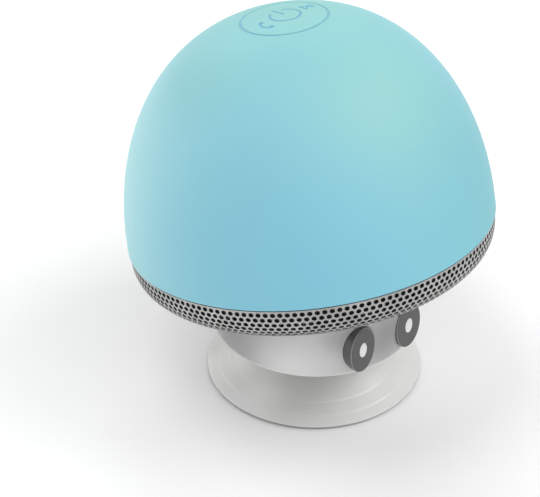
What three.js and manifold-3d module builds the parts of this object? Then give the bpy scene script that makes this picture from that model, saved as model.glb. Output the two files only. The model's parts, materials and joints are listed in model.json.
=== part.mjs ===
// Suction-cup shower speaker in the shape of a small mushroom.
// Millimetres, +Z up. The origin is the centre of the suction cup's contact plane, on the stem's axis.
// The face side, with the two eyes, looks along -Y. The head (cap, grille and all they hold) leans
// back from the stem, so its pieces are modelled upright in a frame of their own, whose origin is
// the centre of the cap's rim, and the head group then leans them.
import * as THREE from "three";
import { mergeVertices } from "three/addons/utils/BufferGeometryUtils.js";
import Module from "manifold-3d";

const wasm = await Module();
wasm.setup();

// ---------------------------------------------------------------- driving dimensions

// The gap between pieces that touch or slide, and the facets in a full turn of each kind of round.
const CLEARANCE = 0.3;
const WIDE_SEGMENTS = 36;
const STEM_SEGMENTS = 40;
const SMALL_SEGMENTS = 20;
const SCREW_SEGMENTS = 10;

// Head
const HEAD_LEAN = THREE.MathUtils.degToRad(11.1);
const RIM_CENTRE = new THREE.Vector3(0, 1.0, 23.95);
const CAP_RADIUS = 25.5;
const CAP_HEIGHT = 30.6;
const CAP_SIDE_POWER = 2.27;
const CAP_TOP_POWER = 2.09;
const SKIN_THICKNESS = 1.2;
const SHELL_THICKNESS = 1.5;
const RING_GROOVE_RADIUS = 5.86;
const RING_GROOVE_WIDTH = 0.3;
const BUTTON_TRAVEL = 0.6;

// Grille bowl
const BOWL_RADIUS = 25.3;
const BOWL_DEPTH = 8.1;
const BOWL_SIDE_POWER = 1.96;
const BOWL_FLOOR_POWER = 3.23;
const BOWL_SHEET = 0.5;
const BOWL_HOLE_RADIUS = 10;
const SOUND_HOLES = 18;
const SOUND_HOLE_RADIUS = 1;
const SOUND_HOLE_HEIGHT = -2.2;

// Driver, firing down into the bowl
const BAFFLE_THICKNESS = 1.5;
const BAFFLE_HOLE_RADIUS = 17.2;
const FLANGE_RADIUS = 18.9;
const FLANGE_TOP = -1.2;
const FLANGE_THICKNESS = 0.8;
const CONE_RADIUS = 12.6;
const COIL_RADIUS = 5.5;
const MAGNET_RADIUS = 12.8;
const CLAMP_SCREW_CIRCLE = 20.9;
const FRAME_RING_BORE = 16.3;
const FRAME_RING_RADIUS = 22.2;
const FRAME_HUB_BORE = 5;
const FRAME_HUB_RADIUS = 12.6;

// Electronics in the cap
const BATTERY = { x: 26, y: 17, low: 15.9, high: 19.9 };
const BOARD = { radius: 14.2, low: 20.8, high: 21.8 };
const BOARD_SCREWS = [
  [4.5, 11.3],
  [-4.5, -11.3],
];

// Stem
const STEM_BOTTOM = 8.12;
const STEM_LOW_RADIUS = 14.4;
const STEM_HIGH_RADIUS = 14.85;
const STEM_HIGH = 21;
const STEM_EDGE_ROUNDING = 1.2;
const STEM_BORE_RADIUS = 12.8;
const DECK_THICKNESS = 1.5;
const BASE_COVER_RECESS = 0.2;
const BASE_COVER_THICKNESS = 1.2;
const HUB_SCREW_CIRCLE = 7.5;
const BASE_SCREW_CIRCLE = 11.2;
const BASE_SCREW_TURNS = [-55, 25, 155, 235];

// Eyes
const EYE_X = 4.26;
const EYE_Z = 12.89;
const EYE_FRONT_Y = -14.67;
const EYE_BACK_Y = -12.5;
const EYE_GAP = 0.15;
const EYE_HALF_WIDTH = 2.27;
const EYE_HALF_HEIGHT = 3.72;
const DOT_HALF_WIDTH = 0.66;
const DOT_HALF_HEIGHT = 1.2;
const DOT_DEPTH = 0.35;
const DOT_GAP = 0.1;

// Charging port at the back of the stem, with a status light and a microphone beside it
const PORT_Z = 11.2;
const PORT_HALF_WIDTH = 4.0;
const PORT_HALF_HEIGHT = 1.6;
const FLAP_HALF_WIDTH = 5.3;
const FLAP_HALF_HEIGHT = 1.9;
const LIGHT_TURN = THREE.MathUtils.degToRad(50);
const VOICE_TURN = THREE.MathUtils.degToRad(130);

// Suction cup
const CUP_RADIUS = 15.25;
const CUP_NECK_RADIUS = 2.7;
const CUP_KNOB_RADIUS = 3.9;

// ---------------------------------------------------------------- materials

function material(color, roughness, metalness = 0) {
  return new THREE.MeshStandardMaterial({ color, roughness, metalness });
}

const MATERIALS = {
  silicone: material(0x93cfdc, 0.65),
  whitePlastic: material(0xdededc, 0.35),
  blackPlastic: material(0x1d1e20, 0.5),
  eyePlastic: material(0x555555, 0.45),
  dotPlastic: material(0xeeeeee, 0.35),
  clearSilicone: material(0xd8d8d6, 0.2),
  whiteSilicone: material(0xd9d9d7, 0.5),
  grilleSteel: material(0xb4b4b2, 0.35, 1),
  steel: material(0xa8a9ab, 0.35, 1),
  magnet: material(0x3a3a3d, 0.55, 0.4),
  paper: material(0x222224, 0.8),
  rubber: material(0x18181a, 0.7),
  copper: material(0xb5713c, 0.4, 1),
  foam: material(0x2b2b2e, 0.95),
  board: material(0x1f6b43, 0.5),
  batteryWrap: material(0x9aa1a8, 0.4, 0.2),
  lens: material(0xd9ecf5, 0.15),
};

// ---------------------------------------------------------------- solids

// A closed three.js geometry as a manifold-3d solid.
function solid(geometry) {
  const bare = geometry.index ? geometry.toNonIndexed() : geometry.clone();
  bare.deleteAttribute("normal");
  bare.deleteAttribute("uv");
  const merged = mergeVertices(bare, 1e-4);
  const vertProperties = merged.attributes.position.array;
  const triVerts = new Uint32Array(merged.index.array);
  return new wasm.Manifold(new wasm.Mesh({ numProp: 3, vertProperties, triVerts }));
}

function geometryOf(made) {
  const { vertProperties, triVerts } = made.getMesh();
  const geometry = new THREE.BufferGeometry();
  geometry.setAttribute("position", new THREE.BufferAttribute(vertProperties, 3));
  geometry.setIndex(new THREE.BufferAttribute(triVerts, 1));
  const flat = geometry.toNonIndexed();
  flat.computeVertexNormals();
  return flat;
}

// A solid of revolution about +Z from [radius, height] points that start and end on the axis, or
// that go round a closed outline.
function revolve(points, segments = WIDE_SEGMENTS) {
  const outline = points.map(([r, h]) => new THREE.Vector2(r, h));
  const onAxis = outline[0].x === 0 && outline.at(-1).x === 0;
  if (THREE.ShapeUtils.isClockWise(outline)) outline.reverse();
  if (!onAxis) outline.push(outline[0].clone());
  const geometry = new THREE.LatheGeometry(outline, segments);
  return solid(geometry.rotateX(Math.PI / 2));
}

function rod(radius, low, high, x = 0, y = 0, segments = SMALL_SEGMENTS) {
  const geometry = new THREE.CylinderGeometry(radius, radius, high - low, segments);
  geometry.rotateX(Math.PI / 2);
  return solid(geometry.translate(x, y, (low + high) / 2));
}

// A rod that points out from the Z axis, at a turn from +X, between two radii.
function spoke(radius, from, to, turn, height, segments = SMALL_SEGMENTS) {
  const geometry = new THREE.CylinderGeometry(radius, radius, to - from, segments);
  geometry.rotateZ(-Math.PI / 2);
  geometry.translate((from + to) / 2, 0, 0);
  geometry.rotateZ(turn);
  return solid(geometry.translate(0, 0, height));
}

function block(low, high) {
  const size = low.map((value, i) => high[i] - value);
  const middle = low.map((value, i) => (high[i] + value) / 2);
  return solid(new THREE.BoxGeometry(...size).translate(...middle));
}

// An upright oval plate that faces -Y, between two places along Y.
function ovalPlate(x, z, halfWidth, halfHeight, front, back) {
  const shape = new THREE.Shape();
  shape.absellipse(x, z, halfWidth, halfHeight, 0, 2 * Math.PI);
  const depth = back - front;
  const options = { depth, bevelEnabled: false, curveSegments: 16 };
  const geometry = new THREE.ExtrudeGeometry(shape, options);
  geometry.rotateX(Math.PI / 2);
  return solid(geometry.translate(0, back, 0));
}

function joined(solids) {
  return solids.reduce((whole, next) => whole.add(next));
}

function cut(whole, solids) {
  return solids.reduce((rest, next) => rest.subtract(next), whole);
}

const headMatrix = new THREE.Matrix4()
  .makeRotationX(-HEAD_LEAN)
  .setPosition(RIM_CENTRE);

// A solid made in the head's frame, put where the leaning head holds it.
function leaned(made) {
  return solid(geometryOf(made).applyMatrix4(headMatrix));
}

// ---------------------------------------------------------------- curves

// Points on a superellipse dome, from one radius to another.
function domeArc(radius, height, sidePower, topPower, from, to, count) {
  const turnAt = (r) => Math.acos(Math.min(1, (r / radius) ** (sidePower / 2)));
  const first = turnAt(from);
  const last = turnAt(to);
  return Array.from({ length: count + 1 }, (_, i) => {
    const turn = first + ((last - first) * i) / count;
    const r = i === count ? to : radius * Math.cos(turn) ** (2 / sidePower);
    return [r, height * Math.sin(turn) ** (2 / topPower)];
  });
}

// The cap's outer face, moved inwards by an inset.
function capArc(inset, from, to, count) {
  const radius = CAP_RADIUS - inset;
  const height = CAP_HEIGHT - inset;
  return domeArc(radius, height, CAP_SIDE_POWER, CAP_TOP_POWER, from, to, count);
}

// The grille bowl's outer face, from the rim in to a radius, moved inwards by an inset.
function bowlArc(inset, to, count) {
  const radius = BOWL_RADIUS - inset;
  const depth = BOWL_DEPTH - inset;
  const arc = domeArc(radius, depth, BOWL_SIDE_POWER, BOWL_FLOOR_POWER, radius, to, count);
  return arc.map(([r, h]) => [r, -h - CLEARANCE]);
}

// ---------------------------------------------------------------- screws

// A pan-head screw along +Z: its head sits below low, and its thread reaches up to high.
function screw(head, thread, low, high, x, y) {
  const headHeight = 0.6 * head;
  const profile = [
    [0, low - headHeight],
    [0.7 * head, low - headHeight],
    [head, low - 0.5 * headHeight],
    [head, low],
    [thread, low],
    [thread, high - thread],
    [0, high],
  ];
  const bare = revolve(profile, SCREW_SEGMENTS);
  const deep = low - 0.5 * headHeight;
  const arm = 0.55 * head;
  const slot = 0.12 * head;
  const bottom = low - 2 * headHeight;
  const across = block([-arm, -slot, bottom], [arm, slot, deep]);
  const along = block([-slot, -arm, bottom], [slot, arm, deep]);
  return cut(bare, [across, along]).translate([x, y, 0]);
}

function onCircle(radius, degrees) {
  const turn = THREE.MathUtils.degToRad(degrees);
  return [radius * Math.cos(turn), radius * Math.sin(turn)];
}

const CLAMP_PLACES = [45, 135, 225, 315].map((turn) => onCircle(CLAMP_SCREW_CIRCLE, turn));
const HUB_PLACES = [30, 150, 270].map((turn) => onCircle(HUB_SCREW_CIRCLE, turn));
const BASE_PLACES = BASE_SCREW_TURNS.map((turn) => onCircle(BASE_SCREW_CIRCLE, turn));
const CHARGE_BOARD_PLACES = [
  [6.6, -3.2],
  [-6.6, -3.2],
];

// ---------------------------------------------------------------- head pieces

const head = new THREE.Group();
head.applyMatrix4(headMatrix);
const stem = new THREE.Group();
const group = new THREE.Group();
group.add(head, stem);

function add(parent, name, made, kind) {
  const mesh = new THREE.Mesh(geometryOf(made), MATERIALS[kind]);
  mesh.name = name;
  parent.add(mesh);
}

// The silicone skin and, under it, the hard dome shell with its screw posts.
function addCap() {
  const hole = RING_GROOVE_RADIUS + RING_GROOVE_WIDTH / 2;
  const skin = revolve([
    [CAP_RADIUS - 0.3, 0],
    ...capArc(0, CAP_RADIUS - 0.01, hole, 11),
    ...capArc(SKIN_THICKNESS, hole, CAP_RADIUS - SKIN_THICKNESS, 8),
  ]);
  add(head, "cap_skin", skin, "silicone");

  const low = BAFFLE_THICKNESS + CLEARANCE;
  const outside = SKIN_THICKNESS + CLEARANCE;
  const inside = outside + SHELL_THICKNESS;
  const shellRim = CAP_RADIUS - outside;
  const buttonHole = RING_GROOVE_RADIUS + 0.5;
  const bare = revolve([
    ...capArc(outside, shellRim, buttonHole, 9),
    ...capArc(inside, buttonHole, CAP_RADIUS - inside, 7),
  ]);
  const solidDome = revolve([[0, 0], ...capArc(outside + 0.4, shellRim - 0.4, 0, 9)]);
  const posts = CLAMP_PLACES.map(([x, y]) => rod(2, 0, 9, x, y, SCREW_SEGMENTS));
  const boardPosts = BOARD_SCREWS.map(([x, y]) =>
    rod(1.9, BOARD.high + CLEARANCE, 27, x, y, SCREW_SEGMENTS),
  );
  const ribs = joined([...posts, ...boardPosts]).intersect(solidDome);
  const bores = [
    ...CLAMP_PLACES.map(([x, y]) => rod(1.1, -1, 8, x, y, SCREW_SEGMENTS)),
    ...BOARD_SCREWS.map(([x, y]) => rod(0.9, 20, 24.2, x, y, SCREW_SEGMENTS)),
  ];
  const under = rod(30, -5, low);
  add(head, "dome_shell", cut(bare.add(ribs), [...bores, under]), "blackPlastic");
}

// The pad in the cap's crown, its plunger, and the switch that it presses.
function addButton() {
  const radius = RING_GROOVE_RADIUS - RING_GROOVE_WIDTH / 2;
  const top = capArc(0, radius, 0, 4);
  const under = capArc(SKIN_THICKNESS, 0, radius, 2);
  const pad = revolve([...top, ...under].reverse(), SMALL_SEGMENTS);
  add(head, "control_button", pad, "silicone");

  const plungerTop = CAP_HEIGHT - SKIN_THICKNESS - 0.7;
  const plungerFoot = BOARD.high + 3.4;
  const disc = rod(5, plungerTop - 0.8, plungerTop);
  const finger = rod(1.5, plungerFoot, plungerTop - 0.4, 0, 0, SCREW_SEGMENTS);
  add(head, "button_plunger", disc.add(finger), "blackPlastic");

  const actuatorTop = plungerFoot - CLEARANCE;
  const actuatorFoot = actuatorTop - 1.7;
  const actuator = rod(1.2, actuatorFoot, actuatorTop, 0, 0, SCREW_SEGMENTS);
  add(head, "switch_actuator", actuator, "blackPlastic");

  const low = BOARD.high + CLEARANCE;
  const body = block([-3, -3, low], [3, 3, low + 2]);
  const well = rod(1.5, actuatorFoot - BUTTON_TRAVEL - 0.1, low + 3, 0, 0, SCREW_SEGMENTS);
  add(head, "tact_switch", body.subtract(well), "steel");
}

// The plate that closes the dome, with a skirt inside the cap's rim and the driver's hole.
function addBaffle() {
  const rim = CAP_RADIUS - SKIN_THICKNESS - CLEARANCE;
  const skirt = rim - 1.1;
  const bare = revolve([
    [BAFFLE_HOLE_RADIUS, 0],
    [skirt, 0],
    [skirt, -2],
    [rim, -2],
    [rim, BAFFLE_THICKNESS],
    [BAFFLE_HOLE_RADIUS, BAFFLE_THICKNESS],
  ]);
  const holes = CLAMP_PLACES.map(([x, y]) => rod(1.3, -3, 3, x, y, SCREW_SEGMENTS));
  add(head, "baffle", cut(bare, holes), "blackPlastic");
}

// The bowl, open in its middle, with one row of sound holes.
function addGrille() {
  const bare = revolve([
    ...bowlArc(0, BOWL_HOLE_RADIUS, 10),
    ...bowlArc(BOWL_SHEET, BOWL_HOLE_RADIUS, 8).reverse(),
  ]);
  const holes = Array.from({ length: SOUND_HOLES }, (_, i) => {
    const turn = (i / SOUND_HOLES) * 2 * Math.PI;
    return spoke(SOUND_HOLE_RADIUS, 20, 30, turn, SOUND_HOLE_HEIGHT, 6);
  });
  add(head, "grille", cut(bare, holes), "grilleSteel");
}

// A clamp ring under the driver's flange and a hub on the bowl's floor, joined by a cross of ribs.
function addSupportFrame() {
  const ringTop = FLANGE_TOP - FLANGE_THICKNESS - CLEARANCE;
  const ringLow = ringTop - 1;
  const ring = revolve([
    [FRAME_RING_BORE, ringLow],
    [FRAME_RING_RADIUS, ringLow],
    [FRAME_RING_RADIUS, ringTop],
    [FRAME_RING_BORE, ringTop],
  ]);
  const lugs = CLAMP_PLACES.map(([x, y]) => rod(1.7, ringLow, -CLEARANCE, x, y, SCREW_SEGMENTS));
  const hub = revolve([
    [FRAME_HUB_BORE, -6.7],
    [FRAME_HUB_RADIUS, -6.7],
    [FRAME_HUB_RADIUS, -5.1],
    [FRAME_HUB_BORE, -5.1],
  ]);
  const cross = [0, 90].map((degrees) => {
    const bar = new THREE.BoxGeometry(43, 2.6, 4.2).translate(0, 0, -5.2);
    return solid(bar.rotateZ(THREE.MathUtils.degToRad(degrees)));
  });
  const insideBowl = revolve([[0, 0], ...bowlArc(BOWL_SHEET + 0.35, 0, 10), [0, 0]]);
  const coneRoom = rod(FRAME_RING_BORE, -4.8, 5);
  const ribs = cut(joined(cross), [coneRoom, rod(FRAME_HUB_BORE, -9, 0)]);
  const holes = [
    ...CLAMP_PLACES.map(([x, y]) => rod(1.1, -9, 3, x, y, SCREW_SEGMENTS)),
    ...HUB_PLACES.map(([x, y]) => rod(1.05, -9, 3, x, y, SCREW_SEGMENTS)),
  ];
  const whole = joined([ring, hub, ribs]).intersect(insideBowl).add(joined(lugs));
  add(head, "support_frame", cut(whole, holes), "blackPlastic");

  CLAMP_PLACES.forEach(([x, y], i) => {
    const made = screw(1.5, 0.8, ringLow - 0.25, 6, x, y);
    add(head, `clamp_screw_${i + 1}`, made, "steel");
  });
}

// The driver's turned pieces. It hangs below the baffle and fires down, so its cone opens downwards
// and its magnet stands above. The spider is a disc of concentric waves round the voice coil.
const FLANGE_LOW = FLANGE_TOP - FLANGE_THICKNESS;
const SPIDER_WAVES = [6.1, 7.4, 8.7, 10, 11.3, 12.6];
const SPIDER_UPPER = SPIDER_WAVES.map((r, i) => [r, i % 2 ? 3.7 : 3.3]);
const SPIDER_LOWER = SPIDER_WAVES.map((r, i) => [r, i % 2 ? 3.4 : 3.0]);
const DRIVER_PIECES = [
  {
    name: "driver_gasket",
    kind: "foam",
    outline: [
      [17.5, FLANGE_TOP + CLEARANCE],
      [FLANGE_RADIUS - 0.1, FLANGE_TOP + CLEARANCE],
      [FLANGE_RADIUS - 0.1, -CLEARANCE],
      [17.5, -CLEARANCE],
    ],
  },
  {
    name: "cone_surround",
    kind: "rubber",
    outline: [
      [12.9, -2],
      [13.4, -3],
      [14.25, -3.4],
      [15.1, -3],
      [15.6, -2],
      [15.25, -1.9],
      [14.85, -2.75],
      [14.25, -3.05],
      [13.65, -2.75],
      [13.25, -1.9],
    ],
  },
  {
    name: "driver_cone",
    kind: "paper",
    outline: [
      [CONE_RADIUS, -2.4],
      [CONE_RADIUS, -2],
      [5.8, 2],
      [5.8, 1.55],
    ],
  },
  {
    name: "dust_cap",
    kind: "paper",
    outline: [
      [0, -0.5],
      [2.6, -0.2],
      [4.6, 0.45],
      [5.4, 1],
      [5.1, 1.3],
      [4.4, 0.85],
      [2.5, 0.2],
      [0, -0.1],
    ],
  },
  {
    name: "voice_coil",
    kind: "copper",
    outline: [
      [COIL_RADIUS - 0.35, 1.6],
      [COIL_RADIUS, 1.6],
      [COIL_RADIUS, 9],
      [COIL_RADIUS - 0.35, 9],
    ],
  },
  {
    name: "cone_spider",
    kind: "paper",
    outline: [...SPIDER_UPPER, ...SPIDER_LOWER.reverse()],
  },
  {
    name: "driver_top_plate",
    kind: "steel",
    outline: [
      [6.1, 6.7],
      [10.6, 6.7],
      [10.6, 8.3],
      [6.1, 8.3],
    ],
  },
  {
    name: "driver_magnet",
    kind: "magnet",
    outline: [
      [6.6, 8.6],
      [MAGNET_RADIUS, 8.6],
      [MAGNET_RADIUS, 12.6],
      [6.6, 12.6],
    ],
  },
  {
    name: "driver_yoke",
    kind: "steel",
    outline: [
      [0, 6.7],
      [4.7, 6.7],
      [4.7, 12.9],
      [12, 12.9],
      [12, 14.5],
      [0, 14.5],
    ],
  },
];

// The pressed basket: a flange, a conical wall with six windows, and a ring under the top plate.
function addBasket() {
  const outline = [
    [15.9, FLANGE_LOW],
    [FLANGE_RADIUS, FLANGE_LOW],
    [FLANGE_RADIUS, FLANGE_TOP],
    [17, FLANGE_TOP],
    [12.6, 6.4],
    [6.4, 6.4],
    [6.4, 5.6],
    [11.9, 5.6],
    [15.9, FLANGE_TOP],
  ];
  const windows = [0, 60, 120].map((degrees) => {
    const bar = new THREE.BoxGeometry(40, 8, 4.4).translate(0, 0, 2.8);
    return solid(bar.rotateZ(THREE.MathUtils.degToRad(degrees)));
  });
  add(head, "driver_basket", cut(revolve(outline, SMALL_SEGMENTS), windows), "steel");
}

function addDriver() {
  DRIVER_PIECES.forEach(({ name, kind, outline }) => {
    add(head, name, revolve(outline, SMALL_SEGMENTS), kind);
  });
  addBasket();
}

// The battery on its pad above the driver, and the main board above the battery.
function addElectronics() {
  const pad = block([-8, -6, 14.8], [8, 6, 15.6]);
  add(head, "battery_pad", pad, "foam");

  const { x, y, low, high } = BATTERY;
  add(head, "battery", block([-x / 2, -y / 2, low], [x / 2, y / 2, high]), "batteryWrap");

  const bare = rod(BOARD.radius, BOARD.low, BOARD.high, 0, 0, WIDE_SEGMENTS);
  const holes = BOARD_SCREWS.map(([px, py]) => rod(0.9, 20, 23, px, py, SCREW_SEGMENTS));
  add(head, "main_board", cut(bare, holes), "board");

  const chipLow = BOARD.high + CLEARANCE;
  const shield = block([4.6, -4.5, chipLow], [11.2, 4.5, chipLow + 1.3]);
  add(head, "wireless_module", shield, "steel");
  const amplifier = block([-9.4, -3, chipLow], [-5, 3, chipLow + 1]);
  add(head, "amplifier_chip", amplifier, "blackPlastic");

  BOARD_SCREWS.forEach(([px, py], i) => {
    const made = screw(1.3, 0.6, BOARD.low - 0.05, 23.6, px, py);
    add(head, `board_screw_${i + 1}`, made, "steel");
  });
}

// ---------------------------------------------------------------- stem pieces

// The stem's outer face: a rounded lower edge, then a wall that widens a little upwards.
function stemOutline(grow = 0) {
  const centre = STEM_LOW_RADIUS - STEM_EDGE_ROUNDING;
  const edge = [0, 45, 90].map((degrees) => {
    const turn = THREE.MathUtils.degToRad(degrees);
    const reach = STEM_EDGE_ROUNDING + grow;
    const r = centre + reach * Math.sin(turn);
    return [r, STEM_BOTTOM + STEM_EDGE_ROUNDING - reach * Math.cos(turn)];
  });
  return [...edge, [STEM_HIGH_RADIUS + grow, STEM_HIGH]];
}

function stemBody(grow = 0) {
  return revolve([[0, STEM_BOTTOM - grow], ...stemOutline(grow), [0, STEM_HIGH]], STEM_SEGMENTS);
}

// A ring round the stem's axis, used to shape what follows its round wall.
function wallRing(inner, outer, low, high) {
  const whole = rod(outer, low, high, 0, 0, STEM_SEGMENTS);
  return whole.subtract(rod(inner, low - 1, high + 1, 0, 0, STEM_SEGMENTS));
}

function flapBox(grow) {
  const x = FLAP_HALF_WIDTH + grow;
  const z = FLAP_HALF_HEIGHT + grow;
  return block([-x, 10, PORT_Z - z], [x, 20, PORT_Z + z]);
}

// The stem is hollow up to a deck that leans with the head, and the deck carries the bowl's hub.
function addStem() {
  const bowlRoom = revolve([
    [0, 0],
    [BOWL_RADIUS + CLEARANCE, 0],
    ...bowlArc(-CLEARANCE, 0, 10),
  ]);
  const deckLow = -BOWL_DEPTH - 2 * CLEARANCE - DECK_THICKNESS;
  const underDeck = block([-30, -30, deckLow - 30], [30, 30, deckLow]);
  const bore = rod(STEM_BORE_RADIUS, 0, 30, 0, 0, STEM_SEGMENTS).intersect(leaned(underDeck));
  const posts = BASE_PLACES.map(([x, y]) => rod(1.9, 9.8, 16, x, y, SCREW_SEGMENTS));
  const insideWall = rod(STEM_BORE_RADIUS + 0.4, 0, 30, 0, 0, STEM_SEGMENTS);
  const hollow = cut(stemBody(), [bore]);
  const filled = hollow.add(joined(posts).intersect(insideWall));

  const hubHoles = HUB_PLACES.map(([x, y]) => rod(1.1, -16, 0, x, y, SCREW_SEGMENTS));
  const wireHole = rod(2.2, -16, 0, 0, 0);
  const baseBores = BASE_PLACES.map(([x, y]) => rod(0.9, 9, 12.3, x, y, SCREW_SEGMENTS));
  const pegHoles = [-1, 1].map((side) => {
    const hole = new THREE.CylinderGeometry(1.3, 1.3, 5, SCREW_SEGMENTS);
    return solid(hole.translate(side * EYE_X, -13.5, EYE_Z));
  });
  const port = block(
    [-PORT_HALF_WIDTH, 7.4, PORT_Z - PORT_HALF_HEIGHT],
    [PORT_HALF_WIDTH, 20, PORT_Z + PORT_HALF_HEIGHT],
  );
  const recess = flapBox(CLEARANCE).subtract(rod(13.7, 0, 30, 0, 0, STEM_SEGMENTS));
  const lightHole = spoke(1, 11, 20, LIGHT_TURN, PORT_Z, SCREW_SEGMENTS);
  const voiceHole = spoke(0.5, 11, 20, VOICE_TURN, PORT_Z, SCREW_SEGMENTS);
  const made = cut(filled, [
    leaned(joined([bowlRoom, ...hubHoles, wireHole])),
    ...baseBores,
    ...pegHoles,
    port,
    recess,
    lightHole,
    voiceHole,
  ]);
  add(stem, "stem_housing", made, "whitePlastic");

  HUB_PLACES.forEach(([x, y], i) => {
    const hubScrew = screw(1.6, 0.8, deckLow - 0.15, -5.4, x, y);
    add(head, `hub_screw_${i + 1}`, hubScrew, "steel");
  });
}

// Each eye is an oval plate that follows the stem's wall, with a peg behind and a pocket for its dot.
function addEyes() {
  const wall = stemBody(EYE_GAP);
  [
    ["left_eye", -1],
    ["right_eye", 1],
  ].forEach(([name, side]) => {
    const x = side * EYE_X;
    const plate = ovalPlate(x, EYE_Z, EYE_HALF_WIDTH, EYE_HALF_HEIGHT, EYE_FRONT_Y, EYE_BACK_Y);
    const peg = new THREE.CylinderGeometry(1, 1, 2, SCREW_SEGMENTS).translate(x, -13.3, EYE_Z);
    const pocketWidth = DOT_HALF_WIDTH + DOT_GAP;
    const pocketHeight = DOT_HALF_HEIGHT + DOT_GAP;
    const floor = EYE_FRONT_Y + DOT_DEPTH + DOT_GAP;
    const pocket = ovalPlate(x, EYE_Z, pocketWidth, pocketHeight, EYE_FRONT_Y - 1, floor);
    const disc = cut(plate, [wall]).add(solid(peg));
    add(stem, name, disc.subtract(pocket), "eyePlastic");
    const back = EYE_FRONT_Y + DOT_DEPTH;
    const dot = ovalPlate(x, EYE_Z, DOT_HALF_WIDTH, DOT_HALF_HEIGHT, EYE_FRONT_Y, back);
    add(stem, `${name}_dot`, dot, "dotPlastic");
  });
}

// The disc that closes the stem's bottom, with a hole for the cup's neck and two board standoffs.
function addBaseCover() {
  const low = STEM_BOTTOM + BASE_COVER_RECESS;
  const top = low + BASE_COVER_THICKNESS;
  const plate = revolve([
    [CUP_NECK_RADIUS + CLEARANCE, low],
    [STEM_BORE_RADIUS - CLEARANCE, low],
    [STEM_BORE_RADIUS - CLEARANCE, top],
    [CUP_NECK_RADIUS + CLEARANCE, top],
  ]);
  const standoffs = CHARGE_BOARD_PLACES.map(([x, y]) => rod(1.3, low, 10.6, x, y, SCREW_SEGMENTS));
  const holes = [
    ...BASE_PLACES.map(([x, y]) => rod(1.05, 0, 20, x, y, SCREW_SEGMENTS)),
    ...BASE_PLACES.map(([x, y]) => rod(1.8, 0, low + 0.6, x, y, SCREW_SEGMENTS)),
    ...CHARGE_BOARD_PLACES.map(([x, y]) => rod(0.75, 9.1, 20, x, y, SCREW_SEGMENTS)),
  ];
  add(stem, "base_cover", cut(joined([plate, ...standoffs]), holes), "whitePlastic");

  BASE_PLACES.forEach(([x, y], i) => {
    const made = screw(1.45, 0.7, low + 0.55, 12, x, y);
    add(stem, `base_screw_${i + 1}`, made, "steel");
  });
}

// The charge board over the base cover, its socket, the status light's pipe and the microphone.
function addChargeBoard() {
  const disc = rod(9, 10.9, 11.7, 0, 0);
  const made = cut(disc, [
    rod(4.4, 9, 13),
    block([-10, 7.2, 9], [10, 12, 13]),
    ...CHARGE_BOARD_PLACES.map(([x, y]) => rod(0.8, 9, 13, x, y, SCREW_SEGMENTS)),
  ]);
  add(stem, "charge_board", made, "board");

  CHARGE_BOARD_PLACES.forEach(([x, y], i) => {
    const upsideDown = screw(1.1, 0.5, -11.85, -9.4, 0, 0).rotate([180, 0, 0]);
    add(stem, `charge_board_screw_${i + 1}`, upsideDown.translate([x, y, 0]), "steel");
  });

  const low = [-3.5, 7.6, PORT_Z - 1.25];
  const high = [3.5, 12.9, PORT_Z + 1.25];
  const shell = block(low, high);
  const mouth = block([-3.1, 8.6, PORT_Z - 0.85], [3.1, 14, PORT_Z + 0.85]);
  const tongue = block([-2, 8.2, PORT_Z - 0.25], [2, 12, PORT_Z + 0.25]);
  add(stem, "usb_socket", shell.subtract(mouth).add(tongue), "steel");

  const light = spoke(0.7, 12, 14.45, LIGHT_TURN, PORT_Z, SCREW_SEGMENTS);
  add(stem, "status_light_pipe", light, "lens");
  const capsule = spoke(0.7, 10.4, 12.4, VOICE_TURN, PORT_Z, SCREW_SEGMENTS);
  add(stem, "microphone", capsule, "steel");
}

// The flap: a curved skin in the wall's recess, a plug that fills the port, and a thumb nib.
function addChargingFlap() {
  const skin = flapBox(0).intersect(wallRing(14, 14.55, 5, 20));
  const tongue = block(
    [-3.3, 13.05, PORT_Z - 1.1],
    [3.3, 14.2, PORT_Z + 1.1],
  );
  const nib = block([4.2, 13.5, PORT_Z - 0.7], [FLAP_HALF_WIDTH, 20, PORT_Z + 0.7]);
  const lifted = nib.intersect(wallRing(14.2, 15.2, 5, 20));
  add(stem, "charging_flap", joined([skin, tongue, lifted]), "whiteSilicone");
}

// The suction cup: a flared bell with a hollow underside, then the neck and the knob above it.
function addSuctionCup() {
  const cup = revolve([
    [0, 3.3],
    [5, 3.1],
    [9, 2.1],
    [12.4, 0.8],
    [14.2, 0],
    [CUP_RADIUS - 0.1, 0],
    [CUP_RADIUS, 0.15],
    [CUP_RADIUS - 0.15, 0.5],
    [14.2, 0.95],
    [12.8, 1.5],
    [11.4, 2.2],
    [10.1, 3.1],
    [9, 4.2],
    [8.2, 5.5],
    [7.8, 6.8],
    [7.6, 7.6],
    [7.2, 8],
    [CUP_NECK_RADIUS, 8],
    [CUP_NECK_RADIUS, 9.85],
    [CUP_KNOB_RADIUS, 9.85],
    [CUP_KNOB_RADIUS, 10.5],
    [3.2, 11.1],
    [0, 11.1],
  ]);
  add(stem, "suction_cup", cup, "clearSilicone");
}

addCap();
addButton();
addBaffle();
addGrille();
addSupportFrame();
addDriver();
addElectronics();
addStem();
addEyes();
addBaseCover();
addChargeBoard();
addChargingFlap();
addSuctionCup();

export default group;
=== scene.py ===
"""Looks for the mushroom shower speaker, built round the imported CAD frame.

Lengths in the builders are millimetres, and mesh_object() turns them into metres. "Head frame" is the
leaning cap's own frame: its origin is the centre of the cap's rim, and its +Z is the cap's axis.
"""
import json
import math

import bmesh
import bpy
import numpy as np
from mathutils import Matrix, Vector


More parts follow.
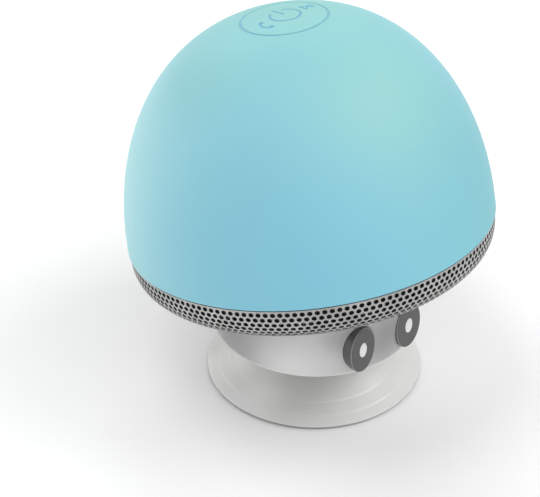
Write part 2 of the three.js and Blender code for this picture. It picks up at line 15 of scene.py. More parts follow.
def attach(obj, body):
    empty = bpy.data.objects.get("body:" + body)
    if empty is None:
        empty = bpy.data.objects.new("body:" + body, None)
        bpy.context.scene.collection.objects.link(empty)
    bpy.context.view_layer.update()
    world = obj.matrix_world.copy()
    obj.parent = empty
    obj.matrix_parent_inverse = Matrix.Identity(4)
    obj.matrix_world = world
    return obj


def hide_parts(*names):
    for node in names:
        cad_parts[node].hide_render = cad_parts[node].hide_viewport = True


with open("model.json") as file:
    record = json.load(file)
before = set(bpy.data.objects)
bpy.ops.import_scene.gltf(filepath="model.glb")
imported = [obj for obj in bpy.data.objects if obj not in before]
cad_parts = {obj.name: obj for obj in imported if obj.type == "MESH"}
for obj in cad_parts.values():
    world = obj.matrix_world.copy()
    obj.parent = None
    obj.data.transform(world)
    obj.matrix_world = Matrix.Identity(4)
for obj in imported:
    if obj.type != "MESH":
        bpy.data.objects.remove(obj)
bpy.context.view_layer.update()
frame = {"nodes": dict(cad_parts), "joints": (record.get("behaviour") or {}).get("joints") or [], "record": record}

MM = 0.001

# ------------------------------------------------------------------ driving sizes, from part.mjs

RIM_CENTRE = (0.0, 1.0, 23.95)
CAP_RADIUS, CAP_HEIGHT = 25.5, 30.6
CAP_POWERS = (2.27, 2.09)
SKIN = 1.2
GROOVE_RADIUS, GROOVE_WIDTH = 5.86, 0.3
GROOVE_DEPTH = 0.1
BOWL_RADIUS, BOWL_DEPTH = 25.3, 8.1
BOWL_POWERS = (1.96, 3.23)
BOWL_SHEET = 0.4  # thinner than the CAD's, so that the holes look open from the side
BOWL_HOLE = 10.0
BOWL_TOP = -0.3
STEM_BOTTOM, STEM_LOW_RADIUS = 8.12, 14.4
STEM_HIGH, STEM_HIGH_RADIUS = 21.0, 14.85
STEM_ROUNDING = 1.2
STEM_BORE = 12.8
DECK_LOW = -10.2
HUB_SCREW_CIRCLE, HUB_SCREW_TURNS = 7.5, (30, 150, 270)
BASE_SCREW_CIRCLE, BASE_SCREW_TURNS = 11.2, (-55, 25, 155, 235)
EYE_X, EYE_Z = 4.26, 12.89
EYE_FRONT, EYE_BACK = -14.67, -12.5
EYE_HALF = (2.27, 3.72)
DOT_HALF, DOT_DEPTH = (0.66, 1.2), 0.35
PORT_Z, PORT_HALF = 11.2, (4.0, 1.6)
FLAP_HALF = (5.3, 1.9)
LIGHT_TURN, MIC_TURN = 50, 130
POST_RADIUS, POST_LOW = 1.9, 9.8
SCREW_HOLE, HUB_HOLE, WIRE_HOLE = 0.9, 1.1, 2.2
LIGHT_HOLE, MIC_HOLE = 0.95, 0.4
CUP_RADIUS = 15.25
CUP_NECK, CUP_KNOB = 2.7, 3.9
LIP_LOW, LIP_HIGH = 0.32, 0.57

# Sizes of the visual detail that the CAD leaves plain.
EYE_ROUNDING = 0.28
DOT_GAP = 0.02
FLAP_BEVEL = 0.1

press = next(j for j in frame["joints"] if j["name"] == "button_press")
LEAN = math.atan2(-press["axis"][1], -press["axis"][2])
HEAD = Matrix.Translation(RIM_CENTRE) @ Matrix.Rotation(-LEAN, 4, "X")


# ------------------------------------------------------------------ curves and outlines


def dome_height(r, radius, height, powers):
    """Height of a superellipse dome over each radius r."""
    share = np.clip(1 - (np.asarray(r, float) / radius) ** powers[0], 0, 1)
    return height * share ** (1 / powers[1])


def dome_arc(radius, height, powers, start, end, count):
    """[r, h] points on a superellipse dome from radius start to radius end."""
    turns = [math.acos(min(1, (r / radius) ** (powers[0] / 2))) for r in (start, end)]
    turn = np.linspace(*turns, count)
    r = radius * np.cos(turn) ** (2 / powers[0])
    r[0], r[-1] = start, end
    return np.c_[r, dome_height(r, radius, height, powers)]


def cap_arc(inset, start, end, count):
    return dome_arc(CAP_RADIUS - inset, CAP_HEIGHT - inset, CAP_POWERS, start, end, count)


def bowl_arc(inset, end, count):
    """The grille bowl's outer face from its rim inwards, moved in by an inset."""
    radius = BOWL_RADIUS - inset
    arc = dome_arc(radius, BOWL_DEPTH - inset, BOWL_POWERS, radius, end, count)
    return np.c_[arc[:, 0], BOWL_TOP - arc[:, 1]]


def rounded(corners, steps=5, closed=True):
    """An outline from (r, h, rounding) corners, with an arc in place of each rounded corner."""
    points = []
    count = len(corners)
    for i, (r, h, rounding) in enumerate(corners):
        here = np.array([r, h], float)
        at_end = not closed and i in (0, count - 1)
        if rounding <= 0 or at_end:
            points.append(here)
            continue
        before = np.array(corners[i - 1][:2], float) - here
        after = np.array(corners[(i + 1) % count][:2], float) - here
        a, b = np.linalg.norm(before), np.linalg.norm(after)
        before, after = before / a, after / b
        half = 0.5 * math.acos(float(np.clip(before @ after, -1, 1)))
        reach = min(rounding / math.tan(half), 0.49 * min(a, b))
        radius = reach * math.tan(half)
        inwards = (before + after) / np.linalg.norm(before + after)
        centre = here + inwards * radius / math.sin(half)
        first, last = here + before * reach - centre, here + after * reach - centre
        sweep = math.pi - 2 * half
        turn_way = math.copysign(1, first[0] * last[1] - first[1] * last[0])
        for step in range(steps + 1):
            t = turn_way * sweep * step / steps
            c, s = math.cos(t), math.sin(t)
            points.append(centre + (c * first[0] - s * first[1], s * first[0] + c * first[1]))
    return np.array(points)


def smooth_curve(points, per_span=6):
    """A Catmull-Rom curve through [r, h] points."""
    p = np.array(points, float)
    p = np.vstack([2 * p[0] - p[1], p, 2 * p[-1] - p[-2]])
    out = []
    for i in range(1, len(p) - 2):
        a, b, c, d = p[i - 1 : i + 3]
        for t in np.linspace(0, 1, per_span, endpoint=False):
            out.append(
                0.5
                * (2 * b + (c - a) * t + (2 * a - 5 * b + 4 * c - d) * t**2)
                + 0.5 * (3 * b - a - 3 * c + d) * t**3
            )
    out.append(p[-2])
    return np.array(out)


# ------------------------------------------------------------------ meshes


def mesh_object(name, verts, faces, place=None, sharp=35):
    """A new object from millimetre vertices, put in the row frame, shaded smooth but at sharp edges."""
    co = np.asarray(verts, float)
    if place is not None:
        m = np.array(place)
        co = co @ m[:3, :3].T + m[:3, 3]
    mesh = bpy.data.meshes.new(name)
    mesh.from_pydata((co * MM).tolist(), [], [list(f) for f in faces])
    shape = bmesh.new()
    shape.from_mesh(mesh)
    bmesh.ops.recalc_face_normals(shape, faces=shape.faces)
    shape.to_mesh(mesh)
    shape.free()
    obj = bpy.data.objects.new(name, mesh)
    bpy.context.scene.collection.objects.link(obj)
    smooth_by_angle(obj, sharp)
    return obj


def smooth_by_angle(obj, sharp=35):
    obj.data.polygons.foreach_set("use_smooth", [True] * len(obj.data.polygons))
    obj.data.set_sharp_from_angle(angle=math.radians(sharp))


def revolve(outline, segments=192):
    """(vertices, faces) of an outline turned about Z. Its ends lie on the axis, or it closes."""
    outline = np.asarray(outline, float)
    on_axis = outline[0][0] < 1e-9 and outline[-1][0] < 1e-9
    nxt = np.roll(outline, -1, axis=0)
    area = 0.5 * np.sum(outline[:, 0] * nxt[:, 1] - nxt[:, 0] * outline[:, 1])
    if area < 0:
        outline = outline[::-1]
    turn = np.linspace(0, 2 * math.pi, segments, endpoint=False)
    ring = np.c_[np.cos(turn), np.sin(turn)]
    middle = outline[1:-1] if on_axis else outline
    rows = len(middle)
    verts = np.concatenate([np.c_[r * ring, np.full(segments, h)] for r, h in middle])
    faces = []
    around = np.arange(segments)
    onward = (around + 1) % segments
    for i in range(rows if not on_axis else rows - 1):
        j = (i + 1) % rows
        quad = np.c_[i * segments + around, i * segments + onward]
        quad = np.c_[quad, j * segments + onward, j * segments + around]
        faces.extend(quad.tolist())
    if on_axis:
        verts = np.vstack([verts, [0, 0, outline[0][1]], [0, 0, outline[-1][1]]])
        low, high = len(verts) - 2, len(verts) - 1
        top = (rows - 1) * segments
        faces.extend([[low, int(b), int(a)] for a, b in zip(around, onward)])
        faces.extend([[high, int(top + a), int(top + b)] for a, b in zip(around, onward)])
    return verts, faces


def rod(radius, low, high, x=0.0, y=0.0, segments=48):
    verts, faces = revolve([(0, low), (radius, low), (radius, high), (0, high)], segments)
    return verts + np.array([x, y, 0]), faces


def spoke(radius, start, end, degrees, height, segments=40):
    """A rod that points out from the Z axis, at a turn from +X."""
    verts, faces = rod(radius, start, end, 0, 0, segments)
    turn = Matrix.Rotation(math.radians(degrees), 3, "Z") @ Matrix.Rotation(math.pi / 2, 3, "Y")
    return verts @ np.array(turn).T + np.array([0, 0, height]), faces


def block(low, high):
    corners = [(x, y, z) for x in (0, 1) for y in (0, 1) for z in (0, 1)]
    verts = np.array(low) + np.array(corners) * (np.array(high) - np.array(low))
    faces = [(0, 1, 3, 2), (4, 6, 7, 5), (0, 4, 5, 1), (2, 3, 7, 6), (0, 2, 6, 4), (1, 5, 7, 3)]
    return verts, faces


def as_tool(obj):
    """Takes an object apart again into a (vertices, faces, place) part for combine(), and removes it."""
    verts = np.array([v.co for v in obj.data.vertices]) / MM
    faces = [tuple(p.vertices) for p in obj.data.polygons]
    bpy.data.objects.remove(obj)
    return verts, faces, None


def combine(target, parts, operation):
    """Joins or cuts a solid with others, each a (vertices, faces, place), and leaves one plain mesh."""
    for verts, faces, place in parts:
        tool = mesh_object("tool", verts, faces, place)
        modifier = target.modifiers.new("combine", "BOOLEAN")
        modifier.operation = operation
        modifier.solver = "MANIFOLD"
        modifier.object = tool
        graph = bpy.context.evaluated_depsgraph_get()
        made = bpy.data.meshes.new_from_object(target.evaluated_get(graph))
        target.modifiers.clear()
        old = target.data
        target.data = made
        bpy.data.meshes.remove(old)
        bpy.data.objects.remove(tool)
    target.data.name = target.name


# ------------------------------------------------------------------ materials


class Nodes:
    """A short way to write a material's node tree."""

    def __init__(self, name):
        self.material = bpy.data.materials.new(name)
        self.material.use_nodes = True
        self.tree = self.material.node_tree
        self.shader = self.tree.nodes["Principled BSDF"]
        self.place = self.node("ShaderNodeTexCoord").outputs["Object"]

    def node(self, kind, **settings):
        made = self.tree.nodes.new(kind)
        for key, value in settings.items():
            setattr(made, key, value)
        return made

    def link(self, out, into):
        self.tree.links.new(out, into)

    def noise(self, size, detail=2.0, roughness=0.5, stretch=(1, 1, 1)):
        """Noise whose features are about size millimetres across."""
        mapping = self.node("ShaderNodeMapping")
        mapping.inputs["Scale"].default_value = stretch
        self.link(self.place, mapping.inputs["Vector"])
        noise = self.node("ShaderNodeTexNoise")
        noise.inputs["Scale"].default_value = 1 / (size * MM)
        noise.inputs["Detail"].default_value = detail
        noise.inputs["Roughness"].default_value = roughness
        self.link(mapping.outputs["Vector"], noise.inputs["Vector"])
        return noise.outputs["Fac"]

    def ramp(self, factor, low, high, start=0.0, end=1.0, soft=False):
        """A value from low to high as factor goes from start to end."""
        made = self.node("ShaderNodeMapRange", interpolation_type="SMOOTHSTEP" if soft else "LINEAR")
        for key, value in zip(("From Min", "From Max", "To Min", "To Max"), (start, end, low, high)):
            made.inputs[key].default_value = value
        self.link(factor, made.inputs["Value"])
        return made.outputs["Result"]

    def colours(self, factor, stops):
        """A colour ramp through (position, colour) stops."""
        made = self.node("ShaderNodeValToRGB")
        ramp = made.color_ramp
        for i, (at, colour) in enumerate(stops):
            stop = ramp.elements[i] if i < 2 else ramp.elements.new(at)
            stop.position = at
            stop.color = (*colour, 1)
        self.link(factor, made.inputs["Fac"])
        return made.outputs["Color"]

    def mix(self, factor, first, second):
        """A mix of two colours, each a socket or an RGB value."""
        made = self.node("ShaderNodeMix", data_type="RGBA")
        a, b = made.inputs[6], made.inputs[7]
        for socket, value in ((a, first), (b, second)):
            if isinstance(value, tuple):
                socket.default_value = (*value, 1)
            else:
                self.link(value, socket)
        self.link(factor, made.inputs["Factor"])
        return made.outputs[2]

    def patches(self, tint, spots):
        """Soft round patches of painted light and shade over a tint: centre and reach in millimetres, colour at
        the centre.
        """
        for centre, reach, colour in spots:
            away = self.node("ShaderNodeVectorMath", operation="DISTANCE")
            self.link(self.place, away.inputs[0])
            away.inputs[1].default_value = [MM * c for c in centre]
            share = self.ramp(away.outputs["Value"], 1, 0, 0, reach * MM, soft=True)
            tint = self.mix(share, tint, linear(*colour))
        return tint

    def bump(self, layers):
        """Bump from (height, depth in millimetres) layers, one after the other."""
        normal = None
        for height, depth in layers:
            made = self.node("ShaderNodeBump")
            made.inputs["Strength"].default_value = 1.0
            made.inputs["Distance"].default_value = depth * MM
            self.link(height, made.inputs["Height"])
            if normal is not None:
                self.link(normal, made.inputs["Normal"])
            normal = made.outputs["Normal"]
        self.link(normal, self.shader.inputs["Normal"])

    def set(self, **values):
        """Sets shader sockets, named with _ for spaces, to numbers, colours or other sockets."""
        for key, value in values.items():
            socket = self.shader.inputs[key.replace("_", " ")]
            if isinstance(value, bpy.types.NodeSocket):
                self.link(value, socket)
            elif isinstance(value, tuple):
                socket.default_value = (*value, 1)
            else:
                socket.default_value = value


def linear(red, green, blue):
    """A linear colour from 0 to 255 display values."""
    def one(value):
        value /= 255
        return value / 12.92 if value <= 0.04045 else ((value + 0.055) / 1.055) ** 2.4
    return one(red), one(green), one(blue)


# Tones are display values from 0 to 255. A patch is its centre and reach in millimetres, and its tone at
# the centre.
CAP_TINT = (143, 209, 221)
# The cap's patches are painted light and shade: lighter and greener where light falls, darker and bluer in shade.
CAP_LIGHT_AND_SHADE_PATCHES = [
    ((-1, -15.5, 46.5), 23, (171, 224, 207)),
    ((-22.5, 12, 32), 31, (188, 240, 242)),
    ((14, -19.5, 29.5), 35, (121, 196, 206)),
    ((1, 8, 54), 23, (134, 198, 194)),
    ((-18.5, -15, 31), 41, (137, 207, 229)),
    ((-11, 7.5, 51), 14, (142, 206, 210)),
]


def cap_silicone():
    """Matt soft-touch silicone: aqua with soft patches of painted light and shade and slow random changes of tone,
    darker icons, a painted shade in the button's groove, and a fine moulded grain.
    """
    n = Nodes("cap_silicone")
    tint = n.patches(linear(*CAP_TINT), CAP_LIGHT_AND_SHADE_PATCHES)
    cloud = n.ramp(n.noise(14, 2), 0, 0.1, 0.35, 0.65)
    shaded = n.mix(cloud, tint, linear(144, 209, 216))
    # The icons are tinted darker, and the groove's floor gets a painted shade in the same colour.
    icon_tint_and_groove_shade = n.node("ShaderNodeAttribute", attribute_name="icon_tint_and_groove_shade").outputs["Fac"]
    tinted_and_groove_shaded = n.mix(icon_tint_and_groove_shade, shaded, linear(98, 164, 198))
    n.set(Base_Color=tinted_and_groove_shaded, Roughness=n.ramp(n.noise(0.6, 3), 0.52, 0.64), Specular_IOR_Level=0.35)
    n.set(Sheen_Weight=0.12, Sheen_Roughness=0.5)
    n.bump([(n.noise(0.12, 2), 0.004), (n.noise(2.5, 2), 0.01)])
    return n.material


def grille_steel():
    """Satin perforated sheet: fine rolling lines, worn brighter here and there."""
    n = Nodes("grille_steel")
    lines = n.noise(0.25, 3, 0.6, stretch=(0.25, 1, 1))
    smudge = n.noise(4, 3)
    tint = n.mix(n.ramp(smudge, 0, 1, 0.3, 0.7), linear(160, 160, 159), linear(188, 188, 186))
    n.set(Base_Color=tint, Metallic=1.0, Roughness=n.ramp(lines, 0.26, 0.44))
    n.bump([(lines, 0.006), (n.noise(0.08, 2), 0.002)])
    return n.material


def moulded_plastic(name, colour, rough, grain=0.12, depth=0.003, coat=0.0):
    """Injection-moulded plastic with a fine spark texture and slow changes of tone."""
    n = Nodes(name)
    darker = tuple(0.96 * c for c in colour)
    tone = n.mix(n.ramp(n.noise(7, 3), 0, 1, 0.3, 0.7), darker, colour)
    n.set(Base_Color=tone, Roughness=n.ramp(n.noise(2.5, 2), rough - 0.02, rough + 0.03))
    n.set(Coat_Weight=coat, Coat_Roughness=0.12)
    n.bump([(n.noise(grain, 2), depth), (n.noise(6, 1), 0.006)])
    return n.material


STEM_TINT = (214, 214, 213)
# Patches of painted light and shade on the stem: painted shade on its left side, between the eyes and at the left
# eye's upper edge, and a painted highlight low at its front left.
STEM_LIGHT_AND_SHADE_PATCHES = [
    ((-14.2, 2.5, 13), 12, (154, 154, 154)),
    ((1, -14.4, 13), 9, (146, 146, 146)),
    ((-6.5, -13, 15.5), 5, (176, 176, 176)),
    ((-11.7, -8.5, 9.5), 7.5, (238, 238, 237)),
]


def stem_plastic():
    """Satin white plastic, uneven in tone at random, with patches of painted light and shade, and a painted
    highlight as a brighter line round its lower edge.
    """
    n = Nodes("stem_plastic")
    tint = n.patches(linear(*STEM_TINT), STEM_LIGHT_AND_SHADE_PATCHES)
    height = n.node("ShaderNodeSeparateXYZ")
    n.link(n.place, height.inputs[0])
    # A painted highlight: a near-white band round the stem's rounded lower edge.
    highlight_low, highlight_high = (STEM_BOTTOM + 0.38) * MM, (STEM_BOTTOM + 0.88) * MM
    edge = n.ramp(height.outputs["Z"], 1, 0, highlight_low, highlight_high, soft=True)
    tint = n.mix(edge, tint, linear(254, 254, 253))
    tone = n.mix(n.ramp(n.noise(7, 3), 0, 0.1, 0.3, 0.7), tint, linear(200, 200, 200))
    n.set(Base_Color=tone, Roughness=n.ramp(n.noise(2.5, 2), 0.28, 0.33))
    n.set(Coat_Weight=0.15, Coat_Roughness=0.12)
    n.bump([(n.noise(0.12, 2), 0.003), (n.noise(6, 1), 0.006)])
    return n.material


def eye_plastic():
    """Dark satin plastic, with a painted highlight along the rounded edge of its front face."""
    n = Nodes("eye_plastic")
    dark = n.mix(n.ramp(n.noise(7, 3), 0, 1, 0.3, 0.7), linear(73, 73, 73), linear(77, 77, 77))
    depth = n.node("ShaderNodeSeparateXYZ")
    n.link(n.place, depth.inputs[0])
    # A painted highlight: a lighter band on the rounded edge between the front face and the side.
    inwards = n.ramp(depth.outputs["Y"], 0, 1, EYE_FRONT * MM, (EYE_FRONT + EYE_ROUNDING) * MM)
    painted_highlight = n.colours(inwards, [(0.06, (0, 0, 0)), (0.2, (1, 1, 1)), (0.4, (1, 1, 1)), (0.6, (0, 0, 0))])
    tone = n.mix(painted_highlight, dark, linear(138, 138, 138))
    n.set(Base_Color=tone, Roughness=n.ramp(n.noise(2.5, 2), 0.32, 0.37))
    n.set(Coat_Weight=0.4, Coat_Roughness=0.12)
    n.bump([(n.noise(0.12, 2), 0.003), (n.noise(6, 1), 0.006)])
    return n.material


# Patches of painted light and shade on the cup: painted shade under the stem at its front left, and a painted
# highlight at its left edge.
CUP_LIGHT_AND_SHADE_PATCHES = [
    ((-7.5, -6.5, 3.5), 11, (210, 210, 208)),
    ((-14.5, -1, 1), 8, (250, 250, 249)),
]


def cup_silicone():
    """Glossy, milky, slightly see-through silicone, with patches of painted light and shade and a painted shadow
    line at the foot of its lip.
    """
    n = Nodes("cup_silicone")
    cloud = n.mix(n.ramp(n.noise(5, 3), 0, 1, 0.3, 0.7), linear(238, 238, 236), linear(243, 243, 241))
    height = n.node("ShaderNodeSeparateXYZ")
    n.link(n.place, height.inputs[0])
    # A painted shadow: a dark band at the foot of the lip, where it meets the floor.
    foot = n.ramp(height.outputs["Z"], 0.8, 0, (LIP_LOW + 0.04) * MM, (LIP_HIGH - 0.03) * MM, soft=True)
    milk_and_painted_light = n.mix(foot, n.patches(cloud, CUP_LIGHT_AND_SHADE_PATCHES), linear(150, 150, 149))
    n.set(Base_Color=milk_and_painted_light, Roughness=n.ramp(n.noise(3, 2), 0.3, 0.36), IOR=1.41)
    n.set(Transmission_Weight=0.05, Subsurface_Weight=0.2, Subsurface_Scale=0.0015)
    n.shader.inputs["Subsurface Radius"].default_value = (1.0, 0.98, 0.94)
    n.set(Coat_Weight=0.3, Coat_Roughness=0.16)
    n.bump([(n.noise(3, 1), 0.004), (n.noise(0.15, 2), 0.001)])
    return n.material


def metal(name, colour, rough, grain=0.3):
    """Plated or pressed metal with fine directional marks and dull patches."""
    n = Nodes(name)
    marks = n.noise(grain, 4, 0.6, stretch=(1, 0.2, 1))
    dull = n.mix(n.ramp(n.noise(2.2, 4), 0, 1, 0.35, 0.7), colour, tuple(0.72 * c for c in colour))
    n.set(Base_Color=dull, Metallic=1.0, Roughness=n.ramp(marks, rough - 0.1, rough + 0.12))
    n.bump([(marks, 0.006)])
    return n.material


def fibrous(name, colour, size, rough=0.85, depth=0.03):
    """Paper, foam or rubber: a dull broken surface."""
    n = Nodes(name)
    grain = n.noise(size, 4, 0.65)
    tone = n.mix(n.ramp(grain, 0, 1, 0.3, 0.7), tuple(0.7 * c for c in colour), colour)
    n.set(Base_Color=tone, Roughness=n.ramp(grain, rough - 0.08, rough + 0.08))
    n.bump([(grain, depth)])
    return n.material


def circuit_board():
    """Green solder mask over fine copper tracks."""
    n = Nodes("circuit_board")
    tracks = n.node("ShaderNodeTexBrick")
    tracks.inputs["Scale"].default_value = 900
    tracks.inputs["Mortar Size"].default_value = 0.03
    n.link(n.place, tracks.inputs["Vector"])
    tone = n.mix(tracks.outputs["Fac"], linear(24, 92, 58), linear(58, 132, 84))
    n.set(Base_Color=tone, Roughness=n.ramp(n.noise(1.5, 2), 0.25, 0.4))
    n.bump([(tracks.outputs["Fac"], 0.01)])
    return n.material


def clear_lens():
    """Clear moulded light pipe with a faint frosted core."""
    n = Nodes("clear_lens")
    tone = n.mix(n.ramp(n.noise(0.5, 2), 0, 1, 0.3, 0.7), linear(214, 228, 234), linear(236, 244, 247))
    n.set(Base_Color=tone, Roughness=n.ramp(n.noise(0.4, 2), 0.06, 0.16))
    n.set(Transmission_Weight=0.7, IOR=1.49)
    n.bump([(n.noise(0.3, 1), 0.002)])
    return n.material


SLOTS = {
    "cap_silicone": cap_silicone(),
    "stem_plastic": stem_plastic(),
    "inner_plastic": moulded_plastic("inner_plastic", linear(30, 31, 33), 0.5),
    "eye_plastic": eye_plastic(),
    "dot_plastic": moulded_plastic("dot_plastic", linear(249, 249, 248), 0.25, coat=0.3),
    "cup_silicone": cup_silicone(),
    "flap_silicone": moulded_plastic("flap_silicone", linear(222, 222, 220), 0.5),
    "grille_steel": grille_steel(),
    "screw_steel": metal("screw_steel", linear(170, 170, 172), 0.32),
    "driver_steel": metal("driver_steel", linear(168, 168, 170), 0.36),
    "magnet": moulded_plastic("magnet", linear(60, 60, 64), 0.55, grain=0.4, depth=0.02),
    "cone_paper": fibrous("cone_paper", linear(38, 38, 40), 0.5),
    "surround_rubber": fibrous("surround_rubber", linear(30, 30, 31), 0.3, 0.6, 0.01),
    "coil_copper": metal("coil_copper", linear(184, 116, 70), 0.34, grain=0.15),
    "foam": fibrous("foam", linear(44, 44, 47), 0.35, 0.95, 0.08),
    "circuit_board": circuit_board(),
    "battery_wrap": metal("battery_wrap", linear(160, 166, 172), 0.42, grain=1.0),
    "clear_lens": clear_lens(),
}


def finish_piece(obj, slot, body, *nodes):
    """Gives a new piece its finish, the body that it rides on and the CAD nodes that it stands for."""
    obj.data.materials.clear()
    obj.data.materials.append(SLOTS[slot])
    obj.modifiers.new("normals", "WEIGHTED_NORMAL").keep_sharp = True
    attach(obj, body)
    if nodes:
        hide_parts(*nodes)
    return obj


# ------------------------------------------------------------------ cap


def make_cap():
    """The dome's skin: a rolled rim, and a round hole at the crown for the button."""
    hole = GROOVE_RADIUS + GROOVE_WIDTH / 2
    top = float(dome_height(hole, CAP_RADIUS, CAP_HEIGHT, CAP_POWERS))
    outer = cap_arc(0, CAP_RADIUS - 0.02, hole + 0.12, 110)
    lip = rounded([(hole + 0.12, top - 0.01, 0), (hole, top, 0.1), (hole, top - 0.9, 0)], 4, False)
    inner = cap_arc(SKIN, hole, CAP_RADIUS - SKIN - 0.1, 40)
    inside = CAP_RADIUS - SKIN
    rim = [(inside, 0.1, 0), (inside, 0, 0.1), (CAP_RADIUS, 0, 0.22), (CAP_RADIUS, 0.6, 0)]
    rim = rounded(rim, 6, False)
    # The rolled rim stands in for the first points of the outer arc.
    outline = np.vstack([outer[3:], lip[1:], inner, rim[1:-1]])
    cap = mesh_object("silicone_cap", *revolve(outline, 288), HEAD, sharp=50)
    return finish_piece(cap, "cap_silicone", "housing", "cap_skin")


# Icons on the button, drawn in the head frame seen from above, front (-Y) down. Strokes are straight
# lines or arcs with a width, and a point's distance to the nearest says how deep the groove is there.
ICON_STROKE = 0.13
ICON_DEPTH = 0.07
ICON_EDGE = 0.1
POWER_CENTRE, POWER_RADIUS = (0.15, -0.1), 2.08
PLAY_CORNERS = [(3.3, 0.75), (4.15, 0.0), (3.3, -0.75)]
PAUSE_X = (4.45, 4.85)
HANDSET_ENDS = [(-3.45, 0.6), (-3.4, -1.45)]
HANDSET_BEND = (-2.3, -0.43), 1.75, (144, 214)


def line_distance(p, start, end):
    a, b = np.array(start, float), np.array(end, float)
    t = np.clip((p - a) @ (b - a) / ((b - a) @ (b - a)), 0, 1)
    return np.linalg.norm(p - a - t[:, None] * (b - a), axis=1)


def arc_distance(p, centre, radius, start, end):
    """Distance to an arc that runs from start to end degrees."""
    q = p - np.array(centre, float)
    turn = (np.degrees(np.arctan2(q[:, 1], q[:, 0])) - start) % 360
    on = turn <= end - start
    ends = [
        np.array([radius * math.cos(math.radians(t)), radius * math.sin(math.radians(t))])
        for t in (start, end)
    ]
    to_ends = np.minimum(*[np.linalg.norm(q - e, axis=1) for e in ends])
    return np.where(on, np.abs(np.linalg.norm(q, axis=1) - radius), to_ends)


def icon_distance(p):
    """Distance in mm from each point to the edge of the nearest icon stroke; inside is negative."""
    x, y = POWER_CENTRE
    power = arc_distance(p, POWER_CENTRE, POWER_RADIUS, 122, 418)
    bar = line_distance(p, (x, y + 0.3), (x, y + 2.5))
    sides = [line_distance(p, a, b) for a, b in zip(PLAY_CORNERS, PLAY_CORNERS[1:] + PLAY_CORNERS[:1])]
    pause = [line_distance(p, (x, 0.55), (x, -0.55)) for x in PAUSE_X]
    centre, radius, (start, end) = HANDSET_BEND
    handle = arc_distance(p, centre, radius, start, end)
    bulbs = [np.linalg.norm(p - np.array(e), axis=1) - 0.2 for e in HANDSET_ENDS]
    return np.minimum.reduce([power, bar, *sides, *pause, handle, *bulbs]) - ICON_STROKE


def make_button():
    """The round pad inside the groove, with engraved icons, and the web that is the groove's floor."""
    radius = GROOVE_RADIUS - GROOVE_WIDTH / 2
    web = GROOVE_RADIUS + GROOVE_WIDTH / 2 - 0.02
    shoulder = radius - 0.12
    segments, rings = 420, 130
    turn = np.linspace(0, 2 * math.pi, segments, endpoint=False)
    rows = []
    marks = []
    for r in np.linspace(0.02, shoulder, rings):
        p = np.c_[r * np.cos(turn), r * np.sin(turn)]
        inside = np.clip(0.5 - icon_distance(p) / ICON_EDGE, 0, 1)
        inside = inside * inside * (3 - 2 * inside)
        height = dome_height(r, CAP_RADIUS, CAP_HEIGHT, CAP_POWERS) - ICON_DEPTH * inside
        rows.append(np.c_[p, height])
        marks.append(inside)
    top = float(dome_height(radius, CAP_RADIUS, CAP_HEIGHT, CAP_POWERS))
    edge = rounded(
        [
            (shoulder, top, 0),
            (radius, top - 0.01, 0.1),
            (radius, top - GROOVE_DEPTH, 0.06),
            (web, top - GROOVE_DEPTH, 0.02),
            (web, top - 0.75, 0.05),
            (radius, top - 1.1, 0.1),
            (radius - 0.2, top - 1.18, 0),
        ],
        4,
        False,
    )
    edge = np.vstack([edge, cap_arc(SKIN, radius - 0.3, 0.02, 12)])
    for r, h in edge[1:]:
        rows.append(np.c_[r * np.cos(turn), r * np.sin(turn), np.full(segments, h)])
        # The groove's floor is tinted darker like the icons, but more softly: a painted shade in the groove.
        groove_shade = 0.55 if r > radius - 0.02 and h < top - 0.06 else 0.0
        marks.append(np.full(segments, groove_shade))
    verts = np.vstack(rows)
    around = np.arange(segments)
    onward = (around + 1) % segments
    faces = [tuple(int(v) for v in around)]
    for i in range(len(rows) - 1):
        a, b = i * segments, (i + 1) * segments
        faces.extend(np.c_[a + around, b + around, b + onward, a + onward].tolist())
    faces.append(tuple(int(v) for v in (len(rows) - 1) * segments + around[::-1]))
    button = mesh_object("button_pad", verts, faces, HEAD, sharp=60)
    attribute = button.data.attributes.new("icon_tint_and_groove_shade", "FLOAT", "POINT")
    attribute.data.foreach_set("value", np.concatenate(marks).astype(np.float32))
    return finish_piece(button, "cap_silicone", "button", "control_button")


# ------------------------------------------------------------------ grille

HOLE_HALF = (0.355, 0.32)  # half width round the bowl and half height down it
HEM = 0.16  # plain sheet above the first row
# (rows, row pitch, holes in a row): a zone has 4 holes for every 3 of the next, so edges meet in groups.
GRILLE_ZONES = [(9, 0.76, 164), (8, 0.80, 123)]
ZONE_GAP = 0.3
GRILLE_TOP = -0.14  # height of the sheet's edge in the head frame


